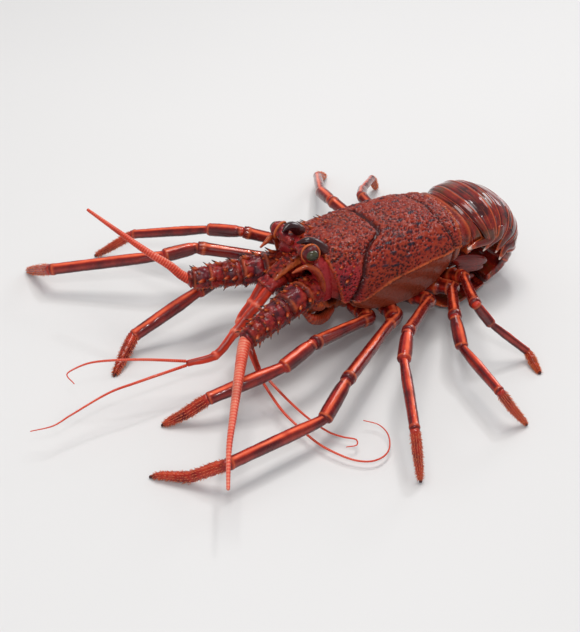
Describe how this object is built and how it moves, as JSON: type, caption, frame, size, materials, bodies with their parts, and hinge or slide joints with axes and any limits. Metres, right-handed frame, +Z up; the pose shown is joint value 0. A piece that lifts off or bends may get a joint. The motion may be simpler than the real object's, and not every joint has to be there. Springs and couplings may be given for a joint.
{
  "type": "spiny lobster",
  "caption": "Life-size spiny lobster standing on its legs with spiny antennae forward, fine feelers and its tail curled under it.",
  "frame": {"origin": "on the floor, below the middle of the whole outline in plan", "axes": "+Z up; the lobster faces -Y and its left side is on +X; metres"},
  "size_m": [0.3036, 0.3337, 0.0741],
  "materials": {
    "shell": "mottled dark red and purple shell with orange granules, wet gloss",
    "tail": "dark red shell plates with orange cross lines and olive patches, glossy",
    "leg": "red shell with dark and pale lines along the leg, glossy",
    "feeler": "ringed orange-brown shell, satin",
    "eye": "dark greenish-black cornea, polished",
    "under": "pale orange-brown shell and skin of the underside, satin",
    "horn": "dark purple-brown horns and spines with pale tips, glossy",
    "setae": "fine stiff orange hairs, dull"
  },
  "bodies": {
    "root": {"carapace_rear": "shell", "carapace_front": "shell", "breastplate": "under", "antennular_plate": "shell", "mouth_frame": "under", "eye_left": "eye", "jaw_leg_left": "under", "antenna_left_base": "shell", "antenna_left_arm": "shell", "antenna_left_whip": "feeler", "feeler_left_stalk": "feeler", "feeler_left_outer": "feeler", "feeler_left_inner": "feeler", "leg_left_1_thigh": "leg", "leg_left_1_shin": "leg", "leg_left_1_foot": "leg", "leg_left_2_thigh": "leg", "leg_left_2_shin": "leg", "leg_left_2_foot": "leg", "leg_left_3_thigh": "leg", "leg_left_3_shin": "leg", "leg_left_3_foot": "leg", "leg_left_4_thigh": "leg", "leg_left_4_shin": "leg", "leg_left_4_foot": "leg", "leg_left_5_thigh": "leg", "leg_left_5_shin": "leg", "leg_left_5_foot": "leg", "fan_left": "tail", "eye_right": "eye", "jaw_leg_right": "under", "antenna_right_base": "shell", "antenna_right_arm": "shell", "antenna_right_whip": "feeler", "feeler_right_stalk": "feeler", "feeler_right_outer": "feeler", "feeler_right_inner": "feeler", "leg_right_1_thigh": "leg", "leg_right_1_shin": "leg", "leg_right_1_foot": "leg", "leg_right_2_thigh": "leg", "leg_right_2_shin": "leg", "leg_right_2_foot": "leg", "leg_right_3_thigh": "leg", "leg_right_3_shin": "leg", "leg_right_3_foot": "leg", "leg_right_4_thigh": "leg", "leg_right_4_shin": "leg", "leg_right_4_foot": "leg", "leg_right_5_thigh": "leg", "leg_right_5_shin": "leg", "leg_right_5_foot": "leg", "fan_right": "tail", "tail_1": "tail", "tail_2": "tail", "tail_3": "tail", "tail_4": "tail", "tail_5": "tail", "tail_6": "tail", "telson": "tail"}
  },
  "joints": []
}
